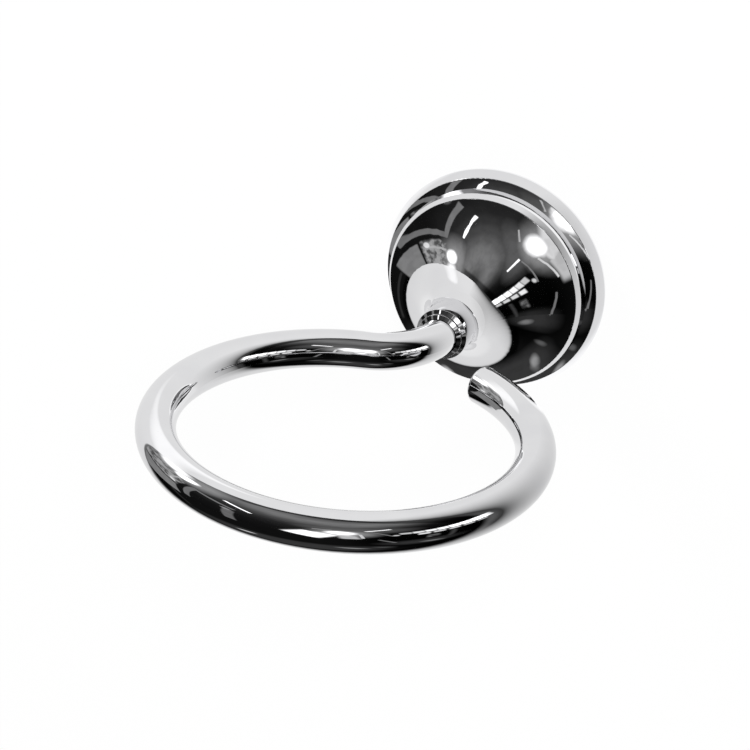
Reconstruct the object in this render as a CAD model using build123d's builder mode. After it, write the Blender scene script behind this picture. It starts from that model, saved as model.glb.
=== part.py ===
from build123d import *
import math
import os

# Towel ring: an open ring of round rod standing level from a flared wall rosette.
# Millimetres. The wall is the plane Y = 0, the ring stands out along -Y, +Z is up.

# Rod and ring
rod_d = 10.0
ring_r = 46.5
bend_r = 19.85
stub_len = 1.8
free_end_deg = 66.0
end_round = 1.1

# Rosette, distances measured out from the wall
flange_r = 32.5
flange_land = 0.7
bevel_in = 1.6
bevel_d = 3.45
bevel_round = 0.35
groove_in = 4.1
groove_d = 4.95
groove_bow = 0.05
edge_in = 4.25
edge_d = 8.55
edge_round = 0.25
bead_in = 5.2
bead_d = 10.2
bead_round = 0.35
cove_deg = 23.0
cove_r = 12.25
neck_len = 5.5
neck_d = 39.6
neck_wall = 1.8
hollow_in = 7.9
hollow_drop = 0.85
nose_wall = 3.0

# Wall bracket
pocket_in = 6.2
bracket_gap = 0.3
bracket_t = 6.0
bracket_base = 2.5
bracket_rim = 3.6
channel_w = 3.3
channel_depth = 1.0
slot_w = 4.6
slot_travel = 5.0
slot_spacing = 28.0
bracket_hole_d = 12.0

# Set screw in the underside of the flange
screw_d = 3.0
screw_out = 2.4
screw_hole_gap = 0.05
screw_sink = 0.3
screw_chamfer = 0.3
key_size = 1.5
key_depth = 2.0

# Collar between the rod and the neck
collar_gap = 0.12
collar_rim = 1.2
collar_step_in = 1.0
collar_lip_in = 0.95
collar_lip_rise = 0.75
collar_slope_deg = 32.0
collar_round = 0.1

# Threaded tail, washer and nut behind the neck
tail_d = 5.0
tail_hole_gap = 0.2
tail_over = 1.6
washer_d = 10.0
washer_t = 1.0
washer_room = 0.3
nut_size = 8.0
nut_t = 4.0
nut_gap = 0.05
nut_bevel = 0.6
nut_face = 0.95
tail_chamfer = 0.6

rod_r = rod_d / 2
tail_r = tail_d / 2
screw_r = screw_d / 2
bevel_r = flange_r - bevel_in
groove_r = flange_r - groove_in
edge_r = flange_r - edge_in
bead_r = flange_r - bead_in
hollow_r = flange_r - hollow_in
pocket_r = flange_r - pocket_in
bracket_r = pocket_r - bracket_gap

# The bend is tangent to the rosette's axis and to the ring's circle from outside
bend_start = math.sqrt(ring_r ** 2 + 2 * ring_r * bend_r)
bend_y = -neck_d - stub_len
reach = bend_start - bend_y
join_deg = math.degrees(math.atan2(bend_start, -bend_r))
ring_sweep = 360 - join_deg + free_end_deg
channel_r = bracket_r - channel_depth

# The underside screw stops just inside the top of the flange's bevel
screw_len = bevel_r - screw_sink - channel_r

# The neck is as wide as the washer inside it needs, and the hollow follows the flare
floor_d = neck_d - nose_wall
floor_r = washer_d / 2 + washer_room
neck_r = floor_r + neck_wall
hollow_d = bead_d - hollow_drop

# The collar is flush with the neck, and its two cones rise at one slope
collar_step_r = neck_r - collar_step_in
collar_lip_r = neck_r - collar_lip_in
collar_bore_r = rod_r + collar_gap
collar_rise = math.tan(math.radians(collar_slope_deg))
collar_rim_d = neck_d + collar_rim
collar_step_d = collar_rim_d + (neck_r - collar_step_r) * collar_rise
collar_lip_d = collar_step_d + collar_lip_rise
collar_end_d = collar_lip_d + (collar_lip_r - collar_bore_r) * collar_rise

# The nut's corners are turned to a cone at 30 degrees
nut_back = washer_t - floor_d
nut_y = nut_back + nut_t
nut_flat_r = nut_size / 2 * nut_face
nut_fall = nut_bevel * math.sqrt(3)


# Ring: one rod from the neck round to the free end
with BuildPart() as ring:
    with BuildLine() as rod_path:
        Line((0, -neck_d, 0), (0, bend_y, 0))
        CenterArc((-bend_r, bend_y, 0), bend_r, 0, join_deg - 180)
        CenterArc((0, -reach, 0), ring_r, join_deg, ring_sweep)
    with BuildSketch(Plane((0, -neck_d, 0), x_dir=(1, 0, 0), z_dir=(0, -1, 0))):
        Circle(rod_r)
    sweep(path=rod_path.wires()[0])
    end_at = free_end_deg * math.pi / 180
    end_point = Vector(ring_r * math.cos(end_at), ring_r * math.sin(end_at) - reach, 0)
    end_face = ring.faces().filter_by(GeomType.PLANE).sort_by_distance(end_point)[0]
    fillet(end_face.edges(), end_round)
    tail_len = nose_wall + washer_t + nut_t + tail_over
    with BuildSketch(Plane((0, -neck_d, 0), x_dir=(1, 0, 0), z_dir=(0, 1, 0))):
        Circle(tail_r)
    extrude(amount=tail_len)
    chamfer(ring.faces().sort_by(Axis.Y)[-1].edges(), tail_chamfer)
ring.part.label = "towel_ring"


# Rosette: a hollow bell with a straight neck, a trumpet flare, a bead, a groove and a bevelled flange
with BuildPart() as rosette:
    with BuildSketch(Plane.XY) as bell:
        with BuildLine():
            Polyline((bead_r, -bead_d), (edge_r, -edge_d), (groove_r, -groove_d))
            SagittaArc((groove_r, -groove_d), (bevel_r, -bevel_d), groove_bow)
            Polyline((bevel_r, -bevel_d), (flange_r, -flange_land), (flange_r, 0), (0, 0),
                     (0, -neck_d), (neck_r, -neck_d), (neck_r, neck_len - neck_d))
            cove = JernArc((neck_r, neck_len - neck_d), (0, 1), cove_r, -cove_deg)
            TangentArc(cove @ 1, (bead_r, -bead_d), tangent=cove % 1)
        make_face()
        fillet(bell.vertices().sort_by_distance((bead_r, -bead_d))[0], bead_round)
        fillet(bell.vertices().sort_by_distance((edge_r, -edge_d))[0], edge_round)
        fillet(bell.vertices().sort_by_distance((bevel_r, -bevel_d))[0], bevel_round)
    revolve(axis=Axis.Y)
    # The hollow keeps the wall of the neck round the flare, and widens into a pocket for the bracket
    with BuildSketch(Plane.XY):
        with BuildLine():
            Polyline((hollow_r, -hollow_d), (hollow_r, -bracket_t), (pocket_r, -bracket_t), (pocket_r, 0),
                     (0, 0), (0, -floor_d), (floor_r, -floor_d), (floor_r, neck_len - neck_d))
            inner_cove = JernArc((floor_r, neck_len - neck_d), (0, 1), cove_r + neck_wall, -cove_deg)
            TangentArc(inner_cove @ 1, (hollow_r, -hollow_d), tangent=inner_cove % 1)
        make_face()
    revolve(axis=Axis.Y, mode=Mode.SUBTRACT)
    with BuildSketch(Plane.XZ.offset(neck_d)):
        Circle(tail_r + tail_hole_gap)
    extrude(amount=-nose_wall, mode=Mode.SUBTRACT)
    with BuildSketch(Plane((0, -screw_out, 0), x_dir=(1, 0, 0), z_dir=(0, 0, -1))):
        Circle(screw_r + screw_hole_gap)
    extrude(amount=flange_r, mode=Mode.SUBTRACT)
rosette.part.label = "rosette"


# Collar: two low cones round the rod, the wider one flush with the neck it rests on
with BuildPart() as collar:
    with BuildSketch(Plane.XY) as steps:
        with BuildLine():
            Polyline((collar_bore_r, -neck_d), (neck_r, -neck_d), (neck_r, -collar_rim_d),
                     (collar_step_r, -collar_step_d), (collar_lip_r, -collar_lip_d),
                     (collar_bore_r, -collar_end_d), (collar_bore_r, -neck_d))
        make_face()
        fillet(steps.vertices().sort_by_distance((neck_r, -collar_rim_d))[0], collar_round)
        fillet(steps.vertices().sort_by_distance((collar_lip_r, -collar_lip_d))[0], collar_round)
    revolve(axis=Axis.Y)
collar.part.label = "collar"


# Bracket: a dished disc that screws to the wall, with a channel round its rim
with BuildPart() as bracket:
    with BuildSketch(Plane.XZ):
        Circle(bracket_r)
    extrude(amount=bracket_t)
    with BuildSketch(Plane.XZ.offset(bracket_base)):
        Circle(bracket_r - bracket_rim)
    extrude(amount=bracket_t - bracket_base, mode=Mode.SUBTRACT)
    with BuildSketch(Plane.XZ.offset(screw_out - channel_w / 2)):
        Circle(bracket_r)
        Circle(channel_r, mode=Mode.SUBTRACT)
    extrude(amount=channel_w, mode=Mode.SUBTRACT)
    with BuildSketch(Plane.XZ):
        Circle(bracket_hole_d / 2)
        with GridLocations(slot_spacing, 0, 2, 1):
            SlotCenterToCenter(slot_travel, slot_w)
    extrude(amount=bracket_base, mode=Mode.SUBTRACT)
bracket.part.label = "wall_bracket"


# Set screw: it stands in the flange and bears on the floor of the bracket's channel
with BuildPart() as set_screw:
    with BuildSketch(Plane((0, -screw_out, -channel_r), x_dir=(1, 0, 0), z_dir=(0, 0, -1))):
        Circle(screw_r)
    extrude(amount=screw_len)
    chamfer(set_screw.edges().filter_by(GeomType.CIRCLE), screw_chamfer)
    with BuildSketch(Plane((0, -screw_out, -channel_r - screw_len), x_dir=(1, 0, 0), z_dir=(0, 0, 1))):
        RegularPolygon(key_size / 2, 6, major_radius=False)
    extrude(amount=key_depth, mode=Mode.SUBTRACT)
set_screw.part.label = "set_screw"


# Washer and nut on the threaded tail, inside the neck
with BuildPart() as washer:
    with BuildSketch(Plane.XZ.offset(floor_d)):
        Circle(washer_d / 2)
        Circle(tail_r + tail_hole_gap, mode=Mode.SUBTRACT)
    extrude(amount=-washer_t)
washer.part.label = "washer"

with BuildPart() as nut:
    with BuildSketch(Plane.XZ.offset(floor_d - washer_t)):
        RegularPolygon(nut_size / 2, 6, major_radius=False)
    extrude(amount=-nut_t)
    with BuildSketch(Plane.XY) as corner_cone:
        with BuildLine():
            Polyline((0, nut_y), (nut_flat_r, nut_y), (nut_flat_r + nut_fall, nut_y - nut_bevel),
                     (nut_flat_r + nut_fall, nut_back), (0, nut_back), (0, nut_y))
        make_face()
    revolve(axis=Axis.Y, mode=Mode.INTERSECT)
    with BuildSketch(Plane.XZ.offset(floor_d - washer_t)):
        Circle(tail_r + nut_gap)
    extrude(amount=-nut_t, mode=Mode.SUBTRACT)
nut.part.label = "nut"


os.makedirs("parts", exist_ok=True)
export_step(ring.part, "parts/towel_ring.step")
export_step(rosette.part, "parts/rosette.step")
export_step(collar.part, "parts/collar.step")
export_step(bracket.part, "parts/wall_bracket.step")
export_step(set_screw.part, "parts/set_screw.step")
export_step(washer.part, "parts/washer.step")
export_step(nut.part, "parts/nut.step")
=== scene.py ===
import math
import bpy
import bmesh
from mathutils import Matrix, Vector

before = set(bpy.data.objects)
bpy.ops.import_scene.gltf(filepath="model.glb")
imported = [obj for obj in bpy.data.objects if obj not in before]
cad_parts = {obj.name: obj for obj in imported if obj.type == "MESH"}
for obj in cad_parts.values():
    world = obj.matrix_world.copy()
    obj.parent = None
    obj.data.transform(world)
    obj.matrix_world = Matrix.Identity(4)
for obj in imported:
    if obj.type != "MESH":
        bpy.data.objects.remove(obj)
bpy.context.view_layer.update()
scene = bpy.context.scene
scene.view_settings.view_transform = "Standard"
print("frame loaded")


# camera, stood where the outline of the ring puts it
cameraSet = {"place": (0.1920, -0.6007, 0.2891), "azimuth": 20.54, "elevation": 27.11,
             "roll": 4.92, "lens": 118.84, "nearest": 0.01}


def addCamera(spec):
    data = bpy.data.cameras.new("camera")
    data.lens = spec["lens"]
    data.clip_start = spec["nearest"]
    cam = bpy.data.objects.new("camera", data)
    scene.collection.objects.link(cam)
    turn = Matrix.Rotation(math.radians(spec["azimuth"]), 4, "Z")
    tip = Matrix.Rotation(math.radians(90 - spec["elevation"]), 4, "X")
    roll = Matrix.Rotation(math.radians(spec["roll"]), 4, "Z")
    cam.matrix_world = Matrix.Translation(spec["place"]) @ turn @ tip @ roll
    scene.camera = cam


addCamera(cameraSet)
print("camera placed")


# node helpers
smallest = 0.001         # keeps a division clear of zero


def newTree(holder):
    holder.use_nodes = True
    tree = holder.node_tree
    tree.nodes.clear()
    return tree


def join(tree, a, outSocket, b, inSocket):
    tree.links.new(a.outputs[outSocket], b.inputs[inSocket])


def sumNode(tree, kind, a, b):
    # a and b are numbers, or (node, socket) pairs
    node = tree.nodes.new("ShaderNodeMath")
    node.operation = kind
    for slot, value in enumerate((a, b)):
        if isinstance(value, tuple):
            join(tree, value[0], value[1], node, slot)
        else:
            node.inputs[slot].default_value = value
    return node, 0


def weighedSum(tree, kind, a, partA, b, partB):
    return sumNode(tree, kind, sumNode(tree, "MULTIPLY", a, partA), sumNode(tree, "MULTIPLY", b, partB))


def softStep(tree, value, start, end, first, last):
    node = tree.nodes.new("ShaderNodeMapRange")
    node.interpolation_type = "SMOOTHSTEP"
    join(tree, value[0], value[1], node, "Value")
    for name, number in (("From Min", start), ("From Max", end), ("To Min", first), ("To Max", last)):
        node.inputs[name].default_value = number
    return node, "Result"


def glowNode(tree, kind, level):
    node = tree.nodes.new(kind)
    node.inputs["Color"].default_value = (1, 1, 1, 1)
    if isinstance(level, tuple):
        join(tree, level[0], level[1], node, "Strength")
    else:
        node.inputs["Strength"].default_value = level
    return node


# the pale wall board and the floor, one-sided so that the back can be looked at
boardSet = {
    "half": 1.6, "behind": 0.0006, "drop": 1.0, "paint": 0.86, "glow": 0.93,
    "left": -0.58, "right": 0.8, "foot": -0.40,                     # where the metal sees it end
    "leftEdge": 0.06, "rightEdge": 0.45, "footEdge": 0.24,
    "litLeft": 0.89, "litRight": 0.05, "fadeFrom": 0.03, "fadeTo": 0.36,
    "litLow": 0.91, "litHigh": 1.02, "lowAt": -0.18, "highAt": 0.16,
    # centre, full inside, gone outside, lift
    "glares": [((-0.004, 0, -0.022), 0.033, 0.049, 1.08), ((0, 0, 0), 0.035, 0.039, 1.25)],
    "beamFrom": (-0.05, 0.075), "beamTo": (-0.62, 0.42), "beamBack": 0.13, "beamStart": (-0.02, 0.05),
    "beamIn": 0.03, "beamOut": 0.6, "beam": 1.2,
}


def boardMaterial(spec):
    mat = bpy.data.materials.new("palePaint")
    tree = newTree(mat)
    out = tree.nodes.new("ShaderNodeOutputMaterial")
    paint = tree.nodes.new("ShaderNodeBsdfDiffuse")
    paint.inputs["Color"].default_value = (spec["paint"], spec["paint"], spec["paint"], 1)
    path = tree.nodes.new("ShaderNodeLightPath")
    side = tree.nodes.new("ShaderNodeNewGeometry")
    clear = tree.nodes.new("ShaderNodeBsdfTransparent")
    place = tree.nodes.new("ShaderNodeTexCoord")
    axes = tree.nodes.new("ShaderNodeSeparateXYZ")
    join(tree, place, "Object", axes, 0)
    toEye = tree.nodes.new("ShaderNodeMixShader")
    eyeGlow = glowNode(tree, "ShaderNodeEmission", 1.0)
    toEye.inputs[0].default_value = spec["glow"]
    join(tree, paint, 0, toEye, 1)
    join(tree, eyeGlow, 0, toEye, 2)
    # in the metal the board darkens to the right, and is a little brighter above
    across = tree.nodes.new("ShaderNodeMapRange")
    upward = tree.nodes.new("ShaderNodeMapRange")
    for node, axis, keys in ((across, "X", ("fadeFrom", "fadeTo", "litLeft", "litRight")),
                             (upward, "Z", ("lowAt", "highAt", "litLow", "litHigh"))):
        join(tree, axes, axis, node, "Value")
        for name, key in zip(("From Min", "From Max", "To Min", "To Max"), keys):
            node.inputs[name].default_value = spec[key]
    level = sumNode(tree, "MULTIPLY", (across, "Result"), (upward, "Result"))
    # and brighter low on the rosette's left, and close round the flange's foot
    for centre, inner, outer, lift in spec["glares"]:
        off = tree.nodes.new("ShaderNodeVectorMath")
        off.operation = "DISTANCE"
        off.inputs[1].default_value = centre
        join(tree, place, "Object", off, 0)
        glare = softStep(tree, (off, "Value"), inner, outer, lift, 1)
        level = sumNode(tree, "MULTIPLY", level, glare)
    # a beam from the side lamp fans out along the board
    ax, az = spec["beamFrom"]
    bx, bz = spec["beamTo"]
    span = math.hypot(bx - ax, bz - az)
    ux, uz = (bx - ax) / span, (bz - az) / span
    fromX = sumNode(tree, "SUBTRACT", (axes, "X"), ax)
    fromZ = sumNode(tree, "SUBTRACT", (axes, "Z"), az)
    along = weighedSum(tree, "ADD", fromX, ux, fromZ, uz)
    aside = weighedSum(tree, "SUBTRACT", fromZ, ux, fromX, uz)
    dark, full = spec["beamStart"]
    onBeam = softStep(tree, along, dark, full, 0, 1)
    fan = sumNode(tree, "MAXIMUM", sumNode(tree, "ADD", along, spec["beamBack"]), smallest)
    offAxis = sumNode(tree, "DIVIDE", sumNode(tree, "ABSOLUTE", aside, 0), fan)
    inBeam = softStep(tree, offAxis, spec["beamIn"], spec["beamOut"], 1, 0)
    beam = sumNode(tree, "MULTIPLY", sumNode(tree, "MULTIPLY", onBeam, inBeam), spec["beam"])
    level = sumNode(tree, "MAXIMUM", level, beam)
    metalGlow = glowNode(tree, "ShaderNodeEmission", level)
    inLeft = softStep(tree, (axes, "X"), spec["left"], spec["left"] + spec["leftEdge"], 0, 1)
    inRight = softStep(tree, (axes, "X"), spec["right"] - spec["rightEdge"], spec["right"], 1, 0)
    inFoot = softStep(tree, (axes, "Z"), spec["foot"], spec["foot"] + spec["footEdge"], 0, 1)
    inside = sumNode(tree, "MULTIPLY", sumNode(tree, "MULTIPLY", inLeft, inRight), inFoot)
    toMetal = tree.nodes.new("ShaderNodeMixShader")
    join(tree, inside[0], 0, toMetal, 0)
    join(tree, clear, 0, toMetal, 1)
    join(tree, metalGlow, 0, toMetal, 2)
    perRay = tree.nodes.new("ShaderNodeMixShader")
    join(tree, path, "Is Glossy Ray", perRay, 0)
    join(tree, toEye, 0, perRay, 1)
    join(tree, toMetal, 0, perRay, 2)
    oneSide = tree.nodes.new("ShaderNodeMixShader")
    join(tree, side, "Backfacing", oneSide, 0)
    join(tree, perRay, 0, oneSide, 1)
    join(tree, clear, 0, oneSide, 2)
    join(tree, oneSide, 0, out, "Surface")
    return mat


def addSheet(name, half, turn, shift, mat):
    bm = bmesh.new()
    bmesh.ops.create_grid(bm, x_segments=1, y_segments=1, size=half)
    tip = Matrix.Rotation(math.radians(turn), 3, "X")
    bmesh.ops.rotate(bm, verts=bm.verts, cent=(0, 0, 0), matrix=tip)
    bmesh.ops.translate(bm, verts=bm.verts, vec=shift)
    mesh = bpy.data.meshes.new(name)
    bm.to_mesh(mesh)
    bm.free()
    sheet = bpy.data.objects.new(name, mesh)
    scene.collection.objects.link(sheet)
    mesh.materials.append(mat)
    return sheet


palePaint = boardMaterial(boardSet)
addSheet("paleWall", boardSet["half"], 90, (0, boardSet["behind"], 0), palePaint)
floor = addSheet("paleFloor", boardSet["half"], 0, (0, -boardSet["half"], -boardSet["drop"]), palePaint)
floor.visible_glossy = False

# the room that the metal shows. A card is at a bearing (degrees to the right of straight out of
# the wall, degrees up), and its size is in degrees too
roomSet = {
    "fill": 0.5,                                        # light on what is not metal
    "behind": 0.62, "behindFrom": 0.12, "behindTo": 0.45,          # pale room behind the board
    "ceiling": [(-0.30, 0.006), (0.10, 0.008), (0.30, 0.014), (0.47, 0.022), (0.59, 0.040), (0.70, 0.07),
                (0.79, 0.12), (0.87, 0.19), (0.93, 0.21), (0.97, 0.17), (1.0, 0.10)],
    "dimFrom": 0.25, "dimTo": 0.75, "dim": 0.12,        # the ceiling falls off to the right
    "mottle": 9, "mottleBy": 0.07,
    "seamFrom": -0.09, "seamTo": -0.04, "seam": 0.3,    # and is dark close to the wall
}
roomLights = [
    {"name": "stripLeft", "at": (-40, 37.5), "size": (21, 2.6), "turn": -27, "soft": 0.8, "level": 1.9},
    {"name": "stripRight", "at": (43.6, 39), "size": (15, 2.4), "turn": 33, "soft": 0.8, "level": 1.5},
    {"name": "softLamp", "at": (22.5, 21.5), "size": (13, 15), "soft": 11, "level": 2.6, "oval": 1},
    {"name": "lampHalo", "at": (24, 20), "size": (26, 28), "soft": 24, "level": 0.42, "oval": 1},
    {"name": "lampArc", "at": (12, 32), "size": (10, 1.6), "turn": 24, "soft": 0.8, "level": 0.5},
    {"name": "lampStand", "at": (26.5, 2), "size": (10, 16), "turn": 8, "soft": 4, "level": 0.6},
    {"name": "paleCard", "at": (18, 12), "size": (20, 12), "soft": 5, "level": 0.8},
    {"name": "brightDoor", "at": (7, 1), "size": (20, 26), "turn": -24, "soft": 5, "level": 1.7},
    {"name": "rightHaze", "at": (28, 40), "size": (50, 26), "soft": 20, "level": 0.12, "oval": 1},
    {"name": "sideLamp", "at": (-81, 36), "size": (10, 14), "soft": 7, "level": 2.8, "oval": 1},
    {"name": "sideHalo", "at": (-84, 42), "size": (36, 38), "soft": 26, "level": 0.32, "oval": 1},
    {"name": "sideGlow", "at": (-98, 37), "size": (17, 19), "soft": 10, "level": 1.6, "oval": 1},
    {"name": "frameHead", "at": (-50, 23), "size": (28, 4.5), "turn": -9, "soft": 1, "level": 0.22},
    {"name": "frameLeg", "at": (-63.5, 6), "size": (4.6, 40), "soft": 1, "level": 0.19},
    {"name": "frameFarLeg", "at": (-37, -6), "size": (7, 36), "soft": 2, "level": 0.16},
    {"name": "sideCabinet", "at": (-87, -12.5), "size": (31, 20), "soft": 1.5, "level": 0.24},
    {"name": "sideShelf", "at": (-87, 14), "size": (33, 28), "soft": 3, "level": 0.27, "mottle": 13},
    {"name": "sideEdge", "at": (-77, 16), "size": (2.2, 22), "soft": 0.8, "level": 0.5},
    {"name": "sideJar", "at": (-75, 5), "size": (5, 6), "turn": 30, "soft": 1.5, "level": 0.9, "oval": 1},
    {"name": "sideRail", "at": (-79, -33), "size": (3, 20), "soft": 2, "level": 0.03},
    {"name": "nearJar", "at": (-39, 12), "size": (6, 6), "soft": 3, "level": 0.35, "oval": 1},
    {"name": "floorStreak", "at": (-60, -63), "size": (9, 4), "soft": 2, "level": 0.7, "oval": 1},
    {"name": "railLine", "at": (44, 20), "size": (1.4, 27), "turn": 22, "soft": 0.6, "level": 0.24},
    {"name": "lampEdge", "at": (33, 9), "size": (1.8, 20), "turn": 4, "soft": 0.6, "level": 0.8},
    {"name": "windowSpot", "at": (50.5, 11), "size": (3.4, 5), "soft": 1.5, "level": 0.7, "oval": 1},
    {"name": "windowHaze", "at": (84, 14), "size": (36, 16), "soft": 9, "level": 0.07},
    {"name": "sillPost", "at": (70, -8), "size": (6, 13), "soft": 3, "level": 0.12, "mottle": 9},
    {"name": "farPost", "at": (81, -12), "size": (3, 24), "soft": 3, "level": 0.05},
    {"name": "stoolLeg", "at": (46.5, -18), "size": (1.8, 21), "turn": 28, "soft": 0.6, "level": 0.19},
    {"name": "lowHaze", "at": (66, -31), "size": (36, 20), "soft": 14, "level": 0.035, "oval": 1},
    {"name": "lowBlob", "at": (74, -34), "size": (12, 6), "turn": -15, "soft": 4, "level": 0.2, "oval": 1},
    {"name": "lowSpot", "at": (51, -52), "size": (9, 4), "turn": -15, "soft": 3, "level": 0.11, "oval": 1},
    {"name": "floorGleam", "at": (33, -63), "size": (10, 6), "soft": 5, "level": 0.34, "oval": 1},
    {"name": "floorHaze", "at": (-20, -72), "size": (70, 34), "soft": 16, "level": 0.042, "oval": 1},
]
# two rows of bright panes to the right, the upper one taller and brighter towards the wall
paneSet = {"first": 56, "step": 6.8, "count": 8, "el": 17.5, "size": (6, 7), "grow": 0.8,
           "soft": 1.8, "level": 0.7, "rise": 0.3}
lowPaneSet = {"first": 65, "step": 8.4, "count": 5, "el": 7.5, "size": (6.4, 6), "grow": -0.4,
              "soft": 1.8, "level": 1.0, "rise": -0.1}


def paneRow(spec):
    wide, high = spec["size"]
    return [{"name": "pane", "at": (spec["first"] + spec["step"] * i, spec["el"]),
             "size": (wide, high + spec["grow"] * i), "soft": spec["soft"],
             "level": spec["level"] + spec["rise"] * i}
            for i in range(spec["count"])]


# uneven light, on the whole room and more strongly on some cards
mottleSet = {"detail": 4, "from": 0.36, "to": 0.62, "cardLow": 0.35, "cardHigh": 1.5}


def mottleNode(tree, ray, scale, low, high):
    noise = tree.nodes.new("ShaderNodeTexNoise")
    noise.inputs["Scale"].default_value = scale
    noise.inputs["Detail"].default_value = mottleSet["detail"]
    join(tree, ray[0], ray[1], noise, "Vector")
    return softStep(tree, (noise, "Fac"), mottleSet["from"], mottleSet["to"], low, high)


def bearing(az, el):
    a = math.radians(az)
    e = math.radians(el)
    return Vector((math.sin(a) * math.cos(e), -math.cos(a) * math.cos(e), math.sin(e)))


def roomLight(tree, ray, spec):
    # the ray's place on a card that faces the object, in tangents
    ahead = bearing(spec["at"][0], spec["at"][1])
    right = Vector((-ahead.y, ahead.x, 0)).normalized()
    up = ahead.cross(right)
    t = math.radians(spec.get("turn", 0))
    along = right * math.cos(t) + up * math.sin(t)
    over = up * math.cos(t) - right * math.sin(t)
    dots = []
    for axis in (ahead, along, over):
        dot = tree.nodes.new("ShaderNodeVectorMath")
        dot.operation = "DOT_PRODUCT"
        dot.label = spec["name"]
        dot.inputs[1].default_value = axis
        join(tree, ray[0], ray[1], dot, 0)
        dots.append((dot, "Value"))
    depth = sumNode(tree, "MAXIMUM", dots[0], smallest)
    halfWide, halfHigh, soft = (math.tan(math.radians(k / 2)) for k in (*spec["size"], spec["soft"]))
    u = sumNode(tree, "ABSOLUTE", sumNode(tree, "DIVIDE", dots[1], depth), 0)
    v = sumNode(tree, "ABSOLUTE", sumNode(tree, "DIVIDE", dots[2], depth), 0)
    if spec.get("oval"):
        a = sumNode(tree, "POWER", sumNode(tree, "DIVIDE", u, halfWide), 2)
        b = sumNode(tree, "POWER", sumNode(tree, "DIVIDE", v, halfHigh), 2)
        out = sumNode(tree, "SQRT", sumNode(tree, "ADD", a, b), 0)
        spread = soft / min(halfWide, halfHigh)
        return softStep(tree, out, max(0, 1 - spread), 1 + spread, spec["level"], 0)
    inWide = softStep(tree, u, max(0, halfWide - soft), halfWide + soft, 1, 0)
    inHigh = softStep(tree, v, max(0, halfHigh - soft), halfHigh + soft, spec["level"], 0)
    card = sumNode(tree, "MULTIPLY", inWide, inHigh)
    if spec.get("mottle"):
        mottle = mottleNode(tree, ray, spec["mottle"], mottleSet["cardLow"], mottleSet["cardHigh"])
        card = sumNode(tree, "MULTIPLY", card, mottle)
    return card


def addRoom(spec, lights):
    world = bpy.data.worlds.new("room")
    tree = newTree(world)
    out = tree.nodes.new("ShaderNodeOutputWorld")
    place = tree.nodes.new("ShaderNodeTexCoord")
    ray = (place, "Generated")
    axes = tree.nodes.new("ShaderNodeSeparateXYZ")
    join(tree, place, "Generated", axes, 0)
    ceiling = tree.nodes.new("ShaderNodeValToRGB")
    ramp = ceiling.color_ramp
    ramp.interpolation = "EASE"
    height = sumNode(tree, "ADD", sumNode(tree, "MULTIPLY", (axes, "Z"), 0.5), 0.5)
    join(tree, height[0], 0, ceiling, "Fac")
    for i, (z, level) in enumerate(spec["ceiling"]):
        stop = ramp.elements[i] if i < 2 else ramp.elements.new(1)
        stop.position = z / 2 + 0.5
        stop.color = (level, level, level, 1)
    dimmer = softStep(tree, (axes, "X"), spec["dimFrom"], spec["dimTo"], 1, spec["dim"])
    seam = softStep(tree, (axes, "Y"), spec["seamFrom"], spec["seamTo"], 1, spec["seam"])
    total = sumNode(tree, "MULTIPLY", sumNode(tree, "MULTIPLY", (ceiling, "Color"), dimmer), seam)
    for light in lights:
        total = sumNode(tree, "MAXIMUM", total, roomLight(tree, ray, light))
    mottle = mottleNode(tree, ray, spec["mottle"], 1 - spec["mottleBy"], 1 + spec["mottleBy"])
    total = sumNode(tree, "MULTIPLY", total, mottle)
    rear = softStep(tree, (axes, "Y"), spec["behindFrom"], spec["behindTo"], 0, spec["behind"])
    total = sumNode(tree, "MAXIMUM", total, rear)
    forMetal = glowNode(tree, "ShaderNodeBackground", total)
    white = glowNode(tree, "ShaderNodeBackground", 1.0)
    soft = glowNode(tree, "ShaderNodeBackground", spec["fill"])
    path = tree.nodes.new("ShaderNodeLightPath")
    perRay = tree.nodes.new("ShaderNodeMixShader")
    toEye = tree.nodes.new("ShaderNodeMixShader")
    join(tree, path, "Is Glossy Ray", perRay, 0)
    join(tree, soft, 0, perRay, 1)
    join(tree, forMetal, 0, perRay, 2)
    join(tree, path, "Is Camera Ray", toEye, 0)
    join(tree, perRay, 0, toEye, 1)
    join(tree, white, 0, toEye, 2)
    join(tree, toEye, 0, out, "Surface")
    scene.world = world


addRoom(roomSet, roomLights + paneRow(paneSet) + paneRow(lowPaneSet))

# soft lamps for the shadows on the board; the room's own cards stand for them in the metal
lampSet = [
    {"name": "keyLamp", "az": 22.5, "el": 30, "away": 1.6, "size": 0.5, "watts": 14},
    {"name": "sideLamp", "az": -60, "el": 35, "away": 1.5, "size": 0.5, "watts": 8},
]


def addLamp(spec):
    data = bpy.data.lights.new(spec["name"], "AREA")
    data.shape = "DISK"
    data.size = spec["size"]
    data.energy = spec["watts"]
    lamp = bpy.data.objects.new(spec["name"], data)
    scene.collection.objects.link(lamp)
    lamp.location = bearing(spec["az"], spec["el"]) * spec["away"]
    lamp.rotation_mode = "QUATERNION"
    lamp.rotation_quaternion = (-lamp.location).to_track_quat("-Z", "Y")
    lamp.visible_glossy = False


for spec in lampSet:
    addLamp(spec)
print("wall, room and lamps set")


# what the metals share: how fine the clouds and wipe marks are, and where they turn over
metalSet = {"cloudDetail": 4, "shadeAt": 0.3, "tintAt": 0.65, "wipeDetail": 6,
            "wipeFrom": 0.35, "wipeTo": 0.75, "grain": 0.0001}
# polished chrome, with faint wipe marks and a little uneven plating
chromeSet = {"tint": (0.82, 0.82, 0.83, 1), "shade": (0.78, 0.78, 0.795, 1), "cloud": 90, "wipe": 260,
             "smooth": 0.012, "worn": 0.04, "lift": 0.015}
# cast zinc, dull and slightly pitted
zincSet = {"tint": (0.60, 0.61, 0.63, 1), "shade": (0.44, 0.45, 0.47, 1), "cloud": 160, "wipe": 900,
           "smooth": 0.32, "worn": 0.52, "lift": 0.35}
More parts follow.
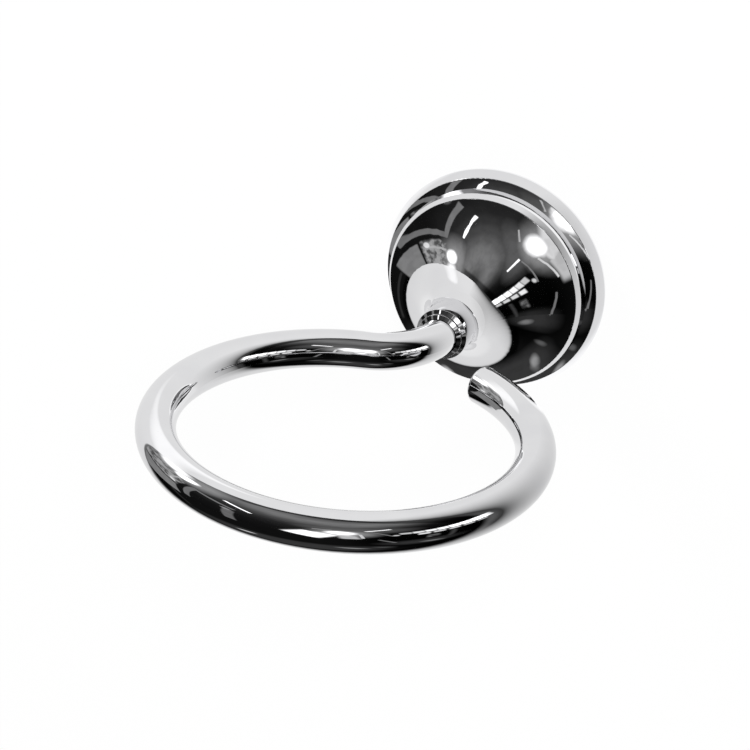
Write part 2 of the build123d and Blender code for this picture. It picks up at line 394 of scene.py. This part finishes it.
# plated steel, with fine turning marks
steelSet = {"tint": (0.66, 0.66, 0.66, 1), "shade": (0.54, 0.54, 0.55, 1), "cloud": 300, "wipe": 1500,
            "smooth": 0.18, "worn": 0.34, "lift": 0.2}


def metalMaterial(name, spec):
    mat = bpy.data.materials.new(name)
    tree = newTree(mat)
    out = tree.nodes.new("ShaderNodeOutputMaterial")
    metal = tree.nodes.new("ShaderNodeBsdfPrincipled")
    metal.inputs["Metallic"].default_value = 1.0
    place = tree.nodes.new("ShaderNodeTexCoord")
    cloud = tree.nodes.new("ShaderNodeTexNoise")
    cloud.inputs["Scale"].default_value = spec["cloud"]
    cloud.inputs["Detail"].default_value = metalSet["cloudDetail"]
    tint = tree.nodes.new("ShaderNodeValToRGB")
    tint.color_ramp.elements[0].position = metalSet["shadeAt"]
    tint.color_ramp.elements[0].color = spec["shade"]
    tint.color_ramp.elements[1].position = metalSet["tintAt"]
    tint.color_ramp.elements[1].color = spec["tint"]
    wipe = tree.nodes.new("ShaderNodeTexNoise")
    wipe.inputs["Scale"].default_value = spec["wipe"]
    wipe.inputs["Detail"].default_value = metalSet["wipeDetail"]
    rough = tree.nodes.new("ShaderNodeMapRange")
    rough.inputs["From Min"].default_value = metalSet["wipeFrom"]
    rough.inputs["From Max"].default_value = metalSet["wipeTo"]
    rough.inputs["To Min"].default_value = spec["smooth"]
    rough.inputs["To Max"].default_value = spec["worn"]
    grain = tree.nodes.new("ShaderNodeBump")
    grain.inputs["Strength"].default_value = spec["lift"]
    grain.inputs["Distance"].default_value = metalSet["grain"]
    join(tree, place, "Object", cloud, "Vector")
    join(tree, place, "Object", wipe, "Vector")
    join(tree, cloud, "Fac", tint, "Fac")
    join(tree, wipe, "Fac", rough, "Value")
    join(tree, wipe, "Fac", grain, "Height")
    join(tree, tint, "Color", metal, "Base Color")
    join(tree, rough, "Result", metal, "Roughness")
    join(tree, grain, "Normal", metal, "Normal")
    join(tree, metal, 0, out, "Surface")
    return mat


chrome = metalMaterial("polishedChrome", chromeSet)
zinc = metalMaterial("castZinc", zincSet)
steel = metalMaterial("platedSteel", steelSet)
finishes = {"towel_ring": chrome, "collar": chrome, "rosette": chrome, "wall_bracket": zinc,
            "set_screw": steel, "washer": steel, "nut": steel}
for name, mat in finishes.items():
    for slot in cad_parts[name].material_slots:
        slot.material = mat
print("materials laid on")
